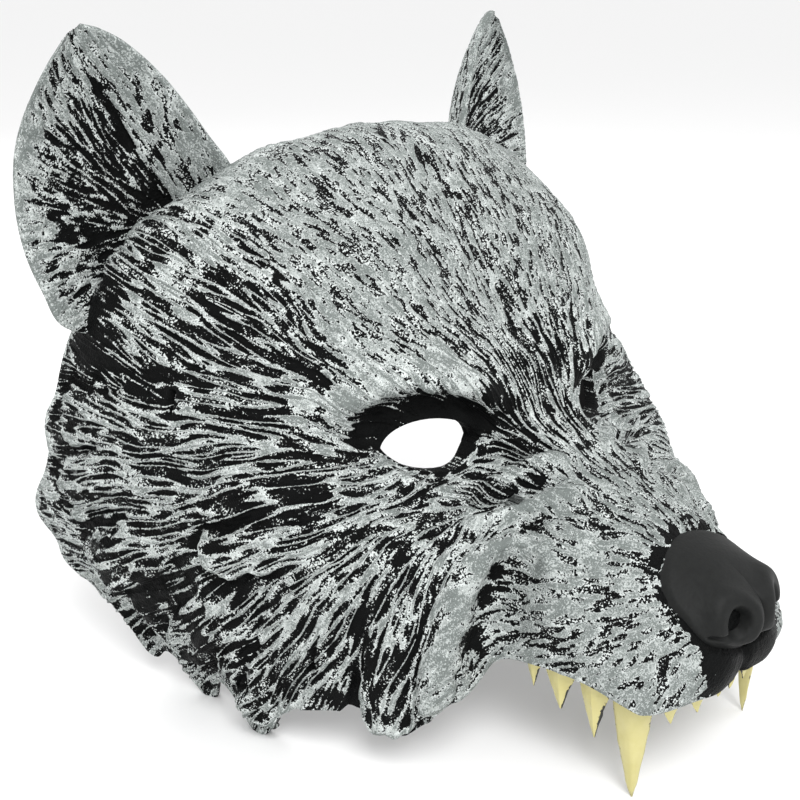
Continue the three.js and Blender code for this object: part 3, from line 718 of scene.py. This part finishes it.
class Wire:
    """A value in a material; sums and products of wires add their Math nodes."""

    def __init__(self, paint, socket):
        self.paint, self.socket = paint, socket

    def math(self, operation, *others, clamp=False):
        return self.paint.node("Math", dict(operation=operation, use_clamp=clamp), self, *others)

    def __add__(self, other):
        return self.math("ADD", other)

    def __sub__(self, other):
        return self.math("SUBTRACT", other)

    def __rsub__(self, other):
        return self.paint.node("Math", dict(operation="SUBTRACT"), other, self)

    def __mul__(self, other):
        return self.math("MULTIPLY", other)

    __radd__, __rmul__ = __add__, __mul__


class Paint:
    """A material and its node tree."""

    def __init__(self, name):
        self.material = bpy.data.materials.new(name)
        self.material.use_nodes = True
        self.tree = self.material.node_tree
        self.shader = self.tree.nodes["Principled BSDF"]

    def node(self, kind, settings=(), *inputs, out=0, **named):
        made = self.tree.nodes.new("ShaderNode" + kind)
        for key, value in dict(settings).items():
            setattr(made, key, value)
        for key, value in [*enumerate(inputs), *named.items()]:
            socket = made.inputs[key if isinstance(key, int) else key.replace("_", " ")]
            self.feed(socket, value)
        return Wire(self, made.outputs[out])

    def feed(self, socket, value):
        if isinstance(value, Wire):
            self.tree.links.new(value.socket, socket)
        else:
            socket.default_value = value

    def set(self, **values):
        for key, value in values.items():
            self.feed(self.shader.inputs[key.replace("_", " ")], value)

    def place(self):
        return self.node("TexCoord", out=3)

    def kept(self, name):
        """A value kept at the vertices."""
        return self.node("Attribute", dict(attribute_name=name), out=2)

    def grain(self, size, detail=2.0, roughness=0.5):
        return self.node(
            "TexNoise", {}, Vector=self.place(), Scale=1 / size, Detail=detail, Roughness=roughness)

    def ramp(self, value, low, high):
        return self.node("MapRange", dict(interpolation_type="SMOOTHSTEP"), value, low, high, 0.0, 1.0)

    def mix(self, share, first, second):
        return self.node("MixRGB", {}, share, first, second)

    def bump(self, height, distance, strength=1.0):
        return self.node("Bump", {}, Height=height, Distance=distance, Strength=strength)


def colour(r, g, b):
    return (r, g, b, 1.0)


def fur_paint():
    """Black foam with silver paint brushed over the tops of the carved hair, and a painted highlight along
    the borders of the silver.
    """
    paint = Paint("fur_dry_brushed_painted_highlights")
    lines, strokes, long, coat = (paint.kept(key) for key in ("lines", "strokes", "long", "coat"))
    crest = (lines * lines * -4.0).math("EXPONENT")
    ridge = crest * (long * 0.55 + 0.18) + paint.ramp(strokes, -0.9, 0.9) * (0.68 - long * 0.36)
    speck = paint.grain(0.6 * MM, 2, 0.6)
    pit = paint.ramp(paint.grain(1.5 * MM, 2, 0.6), 0.56, 0.62)
    load = paint.grain(7 * MM, 2)
    height = ridge + (speck - 0.5) * 1.8 - pit * 0.3 + (load - 0.5) * 0.35
    wet = height + coat
    silver = paint.ramp(wet, 0.94, 1.03)
    # Painted highlight: a thin pale band just inside the border of the silver, where the carved relief would
    # catch the light.
    edge = ((wet - 1.1) * (wet - 1.1) * -45.0).math("EXPONENT")
    fleck = paint.ramp(speck + (load - 0.5) * 0.5, 0.5, 0.66)
    # The pale tone: the painted highlight band, together with real pale flecks of paint.
    highlight_and_fleck = (edge * (0.7 + long * 0.4)).math("ADD", fleck * 0.6, clamp=True)
    black = paint.mix(load, colour(0.002, 0.0022, 0.0022), colour(0.006, 0.0065, 0.0065))
    grey = paint.mix(highlight_and_fleck, colour(0.17, 0.19, 0.182), colour(0.66, 0.7, 0.685))
    paint.set(
        Base_Color=paint.mix(silver, black, grey),
        Roughness=0.5 + silver * 0.05,
        Normal=paint.bump(height, 0.35 * MM, 1.0),
        Specular_IOR_Level=0.05,
    )
    return paint.material


def lining_paint():
    paint = Paint("lining_black")
    lumps = paint.grain(3 * MM, 3)
    paint.set(
        Base_Color=paint.mix(lumps, colour(0.004, 0.004, 0.004), colour(0.011, 0.011, 0.011)),
        Roughness=0.75,
        Normal=paint.bump(lumps, 0.3 * MM),
        Specular_IOR_Level=0.1,
    )
    return paint.material


def nose_paint():
    paint = Paint("nose_matte_black")
    leather = paint.node("TexVoronoi", {}, Vector=paint.place(), Scale=1 / (1.1 * MM))
    lumps = paint.grain(2.2 * MM, 3)
    paint.set(
        Base_Color=paint.mix(lumps, colour(0.003, 0.0033, 0.0032), colour(0.012, 0.013, 0.0125)),
        Roughness=0.5 + lumps * 0.2,
        Normal=paint.bump(leather * 0.5 + lumps, 0.16 * MM, 0.6),
        Specular_IOR_Level=0.2,
    )
    return paint.material


def tooth_paint():
    """Pale yellow, brushed unevenly, black where the brush missed the edges."""
    paint = Paint("tooth_yellow")
    edge = paint.kept("edge")
    streak = paint.grain(1.1 * MM, 4, 0.65)
    blotch = paint.grain(4 * MM, 2)
    missed = paint.ramp(edge + (streak - 0.5) * 0.9 + (blotch - 0.5) * 0.5, 0.72, 0.86)
    yellow = paint.mix(blotch, colour(0.48, 0.43, 0.16), colour(0.58, 0.53, 0.25))
    paint.set(
        Base_Color=paint.mix(missed, yellow, colour(0.012, 0.012, 0.011)),
        Roughness=0.34 + missed * 0.25,
        Normal=paint.bump(streak, 0.12 * MM, 0.7),
    )
    return paint.material


def floor_paint():
    paint = Paint("floor_pale")
    paint.set(Base_Color=colour(0.9, 0.9, 0.9), Roughness=0.9)
    return paint.material


# Skin pieces


def carve_skin():
    """The four skin pieces, cut from one carved surface so that their borders meet."""
    spans = list(PIECE_STATIONS.values())
    rows_of = [even_stations(*span) for span in spans]
    stations = np.concatenate([rows[:-1] for rows in rows_of[:-1]] + [rows_of[-1]])
    points, normals = moulded(stations, COLUMNS)
    flow = fur_flow(points, normals)
    strokes = hair(STROKES, points, flow, 1)
    lines = hair(LONG_LINES, points, flow, 2)
    tufts = hair(TUFTS, points, flow, 5)

    folds = fold_rise(points)
    tongues, gloom, lit = tongue_rise(points)
    points, clear = snapped_to_openings(points, normals, GRAIN)
    lid = smooth(0, EYE_CLEAR, clear)
    ragged = noise(points, 3 * MM, 8) - 0.5 + 0.6 * (noise(points, 1.2 * MM, 9) - 0.5)
    silver = smooth(0.3, 0.75, near_places(points, SILVER_PATCHES) + 0.4 * ragged)
    black = smooth(0.3, 0.8, near_places(points, BLACK_PLACES) + 0.5 * ragged)
    flat = (points[..., [0, 2]] - NOSE_CENTRE) / NOSE_HALF
    round_nose = np.linalg.norm(flat, axis=-1) + 9 * (points[..., 1] > LIP_Y + 30 * MM)
    nose = 1 - smooth(0.95, 1.15, round_nose)
    lip_front = np.linalg.norm((points - LIP_FRONT) / LIP_FRONT_HALF, axis=-1)
    painted = np.minimum(round_nose * 0.95, lip_front * 1.3) + 0.35 * ragged
    painted = 1 - smooth(0.92, 1.08, painted)
    muzzle = smooth(*MUZZLE_START, points[..., 1])
    forehead = smooth(*FOREHEAD_START, points[..., 2]) * (1 - smooth(*FOREHEAD_SIDE, np.abs(points[..., 0])))
    cheek = 1 - np.maximum(muzzle, forehead)

    rows, columns = points.shape[:2]
    from_edge = np.minimum(np.arange(columns), np.arange(columns)[::-1])[None, :] * 0.45
    from_edge = np.minimum(from_edge, np.arange(rows)[::-1, None] * 0.6)
    rim = 1 - smooth(0.5, 5, from_edge + 2 * ragged)

    ridge = carved(lines, strokes, cheek)
    depth = (1.2 - 0.5 * muzzle - 0.45 * forehead) * MM * (1 - 0.8 * silver) * (1 - 0.7 * black)
    depth = depth * (1 - rim) * lid * (1 - painted)
    tuft_depth = (0.6 - 0.3 * muzzle - 0.2 * forehead) * MM * lid * (1 - painted) * (1 - rim)
    lift = depth * (ridge - 0.6) + tuft_depth * np.tanh(tufts * 0.8)
    lift = lift + (folds + tongues) * lid - gloom * GLOOM_DEPTH
    shape = points + normals * (lift - NOSE_SINK * nose)[..., None]
    shape[0, :, 0] = 0

    near_eye = bell(np.linalg.norm(folded(points) - RUFF_FRONT, axis=-1) / RUFF_FRONT_REACH)
    coat = 0.5 + 0.29 * muzzle + 0.28 * forehead + 0.15 * near_eye * cheek + 0.08 * np.tanh(tufts)
    coat = coat + 60 * np.clip(folds, -0.004, 0.004)
    # Painted highlight round the tips of the raised locks, and painted shade in the hollows beside them.
    coat = coat + 0.42 * silver + 0.35 * rim + 0.4 * lit - 0.7 * black - 0.45 * gloom - 0.4 * (1 - lid)
    coat = coat - 1.5 * painted
    # Painted highlight: a thin pale line along the lower rim of each eye hole.
    eye_rim_highlight_zone = (points[..., 1] < 8 * MM) & (points[..., 2] < 97 * MM)
    coat = coat + 0.8 * bell((clear - 1.3 * MM) / (0.6 * MM)) * eye_rim_highlight_zone

    borders = np.cumsum([0] + [len(rows) - 1 for rows in rows_of])
    pieces = []
    lie = grid_normals(shape)
    for (name, _), first, last in zip(PIECE_STATIONS.items(), borders[:-1], borders[1:]):
        stride = MUZZLE_STRIDE if name == "muzzle" else 1
        cut = (slice(first, last + 1), slice(None, None, stride))
        part, part_lie = shape[cut].copy(), lie[cut].copy()
        kept = {"lines": lines, "strokes": strokes, "long": cheek, "coat": coat, "clear": clear}
        values = {key: field[cut] for key, field in kept.items()}
        if name == "brow":  # its first row lies on the muzzle's longer steps
            for n in range(1, MUZZLE_STRIDE):
                share = n / MUZZLE_STRIDE
                ends = part[0, ::MUZZLE_STRIDE]
                part[0, n::MUZZLE_STRIDE] = ends[:-1] * (1 - share) + ends[1:] * share
        part_lie[values["clear"] <= 1e-7] = 0
        grid = part, part_lie, values
        if last == borders[-1]:
            grid = with_rolled_end(*grid)
        for _ in (0, 1):
            part, part_lie, values = turned_round(*with_rolled_end(*turned_round(*grid)))
            grid = part[:, ::-1], part_lie[:, ::-1], {key: field[:, ::-1] for key, field in values.items()}
        part, part_lie, values = grid
        part[..., 2] = np.maximum(part[..., 2], LOWEST)
        piece = sheet(f"skin_{name}", part, values, part_lie)
        without_openings(piece)
        deepened_openings(piece)
        keep_lie(piece)
        pieces.append(piece)
    return pieces


def lining_sheet():
    """The skin's smooth inner face."""
    stations = np.concatenate([np.linspace(0, 8, 90)[:-1], np.linspace(8, LAST, 60)])
    points, normals = moulded(stations, 110)
    inner = points + normals * (fold_rise(points) - SKIN + 0.15 * MM)[..., None]
    inner[0, :, 0] = 0
    inner, clear = snapped_to_openings(inner, normals, 2 * MM)
    inner[..., 2] = np.maximum(inner[..., 2], LOWEST)
    piece = sheet("lining", inner[:, ::-1], {"clear": clear[:, ::-1]})
    without_openings(piece)
    piece.data.shade_smooth()
    return piece


# Ears


def surface_point(station, across):
    half = base_surface(np.array([station]), np.array([across]))
    return half[0, 0] + [0, LIP_Y, 0]


def carve_ear(side):
    """One ear as a closed shell: face, rim, back and rim again, with the fur carved in."""
    inner, outer = (surface_point(*seat) for seat in EAR_SEAT)
    sideways = unit(outer - inner)
    facing = np.array([math.sin(EAR_TURN), -math.cos(EAR_TURN), math.sin(EAR_TILT)])
    facing = unit(facing - (facing @ sideways) * sideways)
    up = unit(np.cross(facing, sideways))
    seat = (inner + outer) / 2

    rows, face, rim = 130, 110, 8
    rises = np.linspace(EAR_RISES[0], 1, rows)
    t = np.concatenate([
        np.linspace(-1, 1, face), np.ones(rim), np.linspace(1, -1, face), -np.ones(rim), [-1],
    ])
    turn = np.linspace(0, math.pi, rim + 2)[1:-1]
    back = np.concatenate([
        np.zeros(face), (1 - np.cos(turn)) / 2, np.ones(face), (1 + np.cos(turn)) / 2, [0]])
    bulge = np.concatenate([np.zeros(face), np.sin(turn), np.zeros(face), -np.sin(turn), [0]])
    a, b = curve(EAR_RISES, EAR_INNER, rises), curve(EAR_RISES, EAR_OUTER, rises)
    cup = curve(EAR_RISES, EAR_CUPS, rises)
    hollow = cup[:, None] * (1 - t**2) * (1 - 0.35 * t)
    reach = (a[:, None] + (b - a)[:, None] * (t + 1) / 2) * EAR_WIDTH
    reach = reach + bulge * 1.4 * MM
    points = (
        seat
        + up * (rises[:, None, None] * EAR_LENGTH)
        + sideways * reach[..., None]
        - facing * (hollow * EAR_CUP + back * EAR_WALL)[..., None]
    )
    along, across = np.gradient(points, axis=0), np.gradient(points, axis=1)
    normals = unit(np.cross(across, along))
    front = 1 - back
    flange = smooth(-0.36, -0.52, t)[None, :] * front  # the folded strip along the inner edge
    fan = points - (seat - sideways * 0.1 * EAR_WIDTH - up * 4 * MM)
    flow = unit(up + sideways * (0.3 * t)[None, :, None] + 0 * points)
    fanned = (front * (1 - flange))[..., None]
    flow = unit(flow * (1 - fanned) + unit(fan) * fanned)
    flow = unit(flow - (flow * normals).sum(-1, keepdims=True) * normals)
    lean = 0.5 * (noise(points, 10 * MM, 5) - 0.5)
    flow = flow * np.cos(lean)[..., None] + np.cross(normals, flow) * np.sin(lean)[..., None]
    strokes, lines = hair(STROKES, points, flow, 6), hair(EAR_LINES, points, flow, 7)
    strokes[:, -1], lines[:, -1] = strokes[:, 0], lines[:, 0]
    ragged = noise(points, 4 * MM, 8) - 0.5
    cup_side = fanned[..., 0] + 0 * lines
    crease = bell((t + 0.42) / 0.06)[None, :] * front * smooth(0.9, 0.7, rises)[:, None]
    ridge = carved(lines, strokes, cup_side)
    lift = (ridge - 0.6) * (1.1 - 0.4 * flange) * MM - EAR_CREASE_DEPTH * crease
    rim = smooth(0.8, 0.95, np.abs(t) + 0.15 * ragged) * front + bulge**2
    tip = smooth(0.66, 0.86, rises[:, None] + 0.25 * ragged)
    shape = points + normals * (lift * (1 - 0.7 * rim))[..., None]
    shape[:, -1] = shape[:, 0]
    outer = smooth(0.3, 0.85, t + 0.5 * ragged) * front
    coat = 0.49 + 0.22 * flange + 0.3 * rim + 0.28 * tip * front + 0.2 * outer - 0.35 * crease
    coat = coat - 0.16 * cup_side * smooth(0.75, 0.35, rises)[:, None] * (1 - outer)
    coat = coat - 0.4 * smooth(0.05, -0.1, rises)[:, None]
    kept = {"lines": lines, "strokes": strokes, "long": 0.6 * cup_side, "coat": coat}
    if side < 0:
        shape = shape[:, ::-1] * [-1, 1, 1]
        kept = {key: field[:, ::-1] for key, field in kept.items()}
    piece = sheet(f"ear_{'left' if side > 0 else 'right'}_fur", shape, kept)
    joined(piece, outwards=True)
    piece.data.shade_smooth()
    return piece


# Nose


def nose_relief(x, z):
    """How far the nose stands out of the muzzle, in metres."""
    round_off = np.hypot(x / NOSE_HALF[0], (z - NOSE_CENTRE[1]) / NOSE_HALF[1])
    pad = 2.1 * (1 - smooth(0.55, 1.04, round_off)) - 1.6 * smooth(0.98, 1.1, round_off)
    dx, dz = np.abs(x) - NOSTRIL[0], z - NOSTRIL[1]
    c, s = math.cos(NOSTRIL_LEAN), math.sin(NOSTRIL_LEAN)
    along, over = dx * c + dz * s, -dx * s + dz * c
    hole = np.hypot(along / (3.6 * MM), over / (4.3 * MM))
    slit = np.hypot((dx - 5 * MM) / (4.5 * MM), (dz + 3.2 * MM) / (1.3 * MM))
    wing = bell((np.hypot(along / 1.05, over) - 6.2 * MM) / (2 * MM))
    groove = bell(x / (0.9 * MM)) * smooth(66 * MM, 58 * MM, z)
    sunk = 5.5 * (1 - smooth(0.7, 1.15, hole)) + 1.8 * (1 - smooth(0.5, 1.1, slit)) + 1.3 * groove
    return (pad + 1.5 * wing - sunk) * MM


def model_nose():
    """The nose pad, cut from a fine grid over the front of the muzzle."""
    points, normals = moulded(np.linspace(0, 1.9, 150), 180)
    keep = slice(30, -30)
    points, normals = points[:, keep], normals[:, keep]
    lift = nose_relief(points[..., 0], points[..., 2])
    shape = points + normals * lift[..., None]
    shape[0, :, 0] = 0
    flat = (points[..., [0, 2]] - NOSE_CENTRE) / NOSE_HALF
    inside = np.linalg.norm(flat, axis=-1) < 1.15
    piece = sheet("nose", shape, {"clear": np.where(inside, 1.0, 0.0)})
    without_openings(piece)
    joined(piece)
    piece.data.shade_smooth()
    return piece


# Teeth


def unit_tooth():
    """A pointed cone of many rings, one metre high, base down at 0."""
    bpy.ops.mesh.primitive_cone_add(vertices=28, radius1=0.5, radius2=0.02, depth=1, location=(0, 0, 0.5))
    cone = bpy.context.object
    bpy.ops.object.transform_apply(location=True, rotation=True, scale=True)
    with editing(cone):
        for n in range(1, TOOTH_RINGS):
            bpy.ops.mesh.select_all(action="SELECT")
            bpy.ops.mesh.bisect(plane_co=(0, 0, n / TOOTH_RINGS), plane_no=(0, 0, 1))
    cone.name = "unit_tooth"
    return cone


def lip_inside(station, depth):
    """A point at that depth behind the lip's edge."""
    points, normals = moulded(np.array([max(0, station - 0.02), station, station + 0.02]), 22)
    point, normal = points[1, -1], normals[1, -1].copy()
    normal[2] = 0
    return point - unit(normal) * (SKIN + TOOTH_GAP + depth)


def place_tooth(pattern, index, side):
    """One tooth, drawn from the pattern to its place, its diamond section and its taper."""
    name, end, thick, length = TEETH[index]
    start = TEETH[index - 1][1] if index else 0
    a, b = lip_inside(start, thick / 2), lip_inside(end, thick / 2)
    forward = (a - b) * [1, 1, 0]
    width = np.linalg.norm(forward) - TOOTH_GAP
    forward = unit(forward)
    inward = np.array([forward[1], -forward[0], 0])
    centre = (a + b) / 2
    length = length or centre[2]
    piece = pattern.copy()
    piece.data = pattern.data.copy()
    bpy.context.collection.objects.link(piece)
    piece.name = f"{name}_{'left' if side > 0 else 'right'}_painted"
    mesh = piece.data
    at = np.empty(len(mesh.vertices) * 3)
    mesh.vertices.foreach_get("co", at)
    at = at.reshape(-1, 3)
    high = at[:, 2]
    angle = np.arctan2(at[:, 1], at[:, 0])
    radius = np.hypot(at[:, 0], at[:, 1]) / np.maximum(0.5 - 0.48 * high, 1e-6) * 0.5
    total = length + TOOTH_ROOT
    down = high * total - TOOTH_ROOT
    share = np.clip(down / length, 0, 1)
    taper = np.where(down < 0, 1, (1 - share) ** (0.8 if name == "canine" else 1) * 0.95 + 0.05)
    diamond = 1 / (np.abs(np.cos(angle)) + np.abs(np.sin(angle)))
    edged = 0.35 + 0.65 * diamond if name == "canine" else 0.1 + 0.9 * diamond
    x = np.cos(angle) * radius * edged * taper * width * 1.08
    y = np.sin(angle) * radius * edged * taper * thick * 1.3
    x = x + TOOTH_BEND * length * share**2
    placed = centre + forward * x[:, None] + inward * y[:, None] - np.array([0, 0, 1]) * down[:, None]
    jitter = (noise(placed, 2.2 * MM, 11 + index) - 0.5) * TOOTH_ROUGHNESS
    placed += forward * (np.cos(angle) * jitter)[:, None] + inward * (np.sin(angle) * jitter)[:, None]
    placed[:, 2] = np.maximum(placed[:, 2], 0)
    facet = smooth(0.25, 0.6, np.cos(angle)) * smooth(0.2, 0.7, share) * (0.5 if name != "canine" else 0)
    edge = 0.12 + 0.62 * np.abs(np.cos(angle)) ** 16 + 0.35 * smooth(0.86, 1, share) + facet
    placed[:, 0] *= side
    mesh.vertices.foreach_set("co", placed.ravel())
    mesh.attributes.new("edge", "FLOAT", "POINT").data.foreach_set("value", edge)
    with editing(piece):
        bpy.ops.mesh.select_all(action="SELECT")
        bpy.ops.mesh.normals_make_consistent(inside=False)
    if name == "canine":
        mesh.shade_smooth()
    else:
        mesh.shade_flat()
    return piece


fur, tooth_finish = fur_paint(), tooth_paint()

for piece in carve_skin():
    finish_piece(piece, fur, "fur", "face_shell")
finish_piece(lining_sheet(), lining_paint(), "fur", "face_shell")
for side, node in ((1, "ear_left"), (-1, "ear_right")):
    finish_piece(carve_ear(side), fur, "fur", node)
finish_piece(model_nose(), nose_paint(), "nose", "nose_pad")
pattern = unit_tooth()
for index, (name, *_) in enumerate(TEETH):
    for side, word in ((1, "left"), (-1, "right")):
        finish_piece(place_tooth(pattern, index, side), tooth_finish, "tooth", f"{name}_{word}")
bpy.data.objects.remove(pattern)

# Floor, light and camera

bpy.ops.mesh.primitive_plane_add(size=60)
floor = bpy.context.object
floor.name = "floor"
floor.data.materials.append(floor_paint())


def soft_light(name, place, aim, size, power):
    bpy.ops.object.light_add(type="AREA", location=place)
    lamp = bpy.context.object
    lamp.name = name
    lamp.data.size = size
    lamp.data.energy = power
    lamp.rotation_euler = (Vector(aim) - Vector(place)).to_track_quat("-Z", "Y").to_euler()


soft_light("key", (-0.55, -0.75, 1.1), (0, 0, 0.1), 0.6, 13)
soft_light("fill", (0.9, -0.6, 0.5), (0, 0, 0.1), 0.8, 2)
soft_light("rim", (0.1, 0.9, 0.9), (0, 0, 0.12), 0.6, 4)

world = bpy.data.worlds.new("studio")
world.use_nodes = True
background = world.node_tree.nodes["Background"].inputs
background["Color"].default_value = (1, 1, 1, 1)
background["Strength"].default_value = 1.0
bpy.context.scene.world = world
bpy.context.scene.view_settings.view_transform = "Standard"

camera_data = bpy.data.cameras.new("photo_view")
camera_data.sensor_width = 36
camera_data.lens = 1235 / 800 * 36
camera = bpy.data.objects.new("photo_view", camera_data)
bpy.context.collection.objects.link(camera)
right = Vector((0.7024, -0.7117, 0.0026))
upward = Vector((0.2331, 0.2335, 0.944))
forward = Vector((0.6725, 0.6625, -0.3299))
camera.matrix_world = Matrix.Translation((-0.30846, -0.2614, 0.23909)) @ Matrix(
    (right, upward, -forward)).transposed().to_4x4()
bpy.context.scene.camera = camera
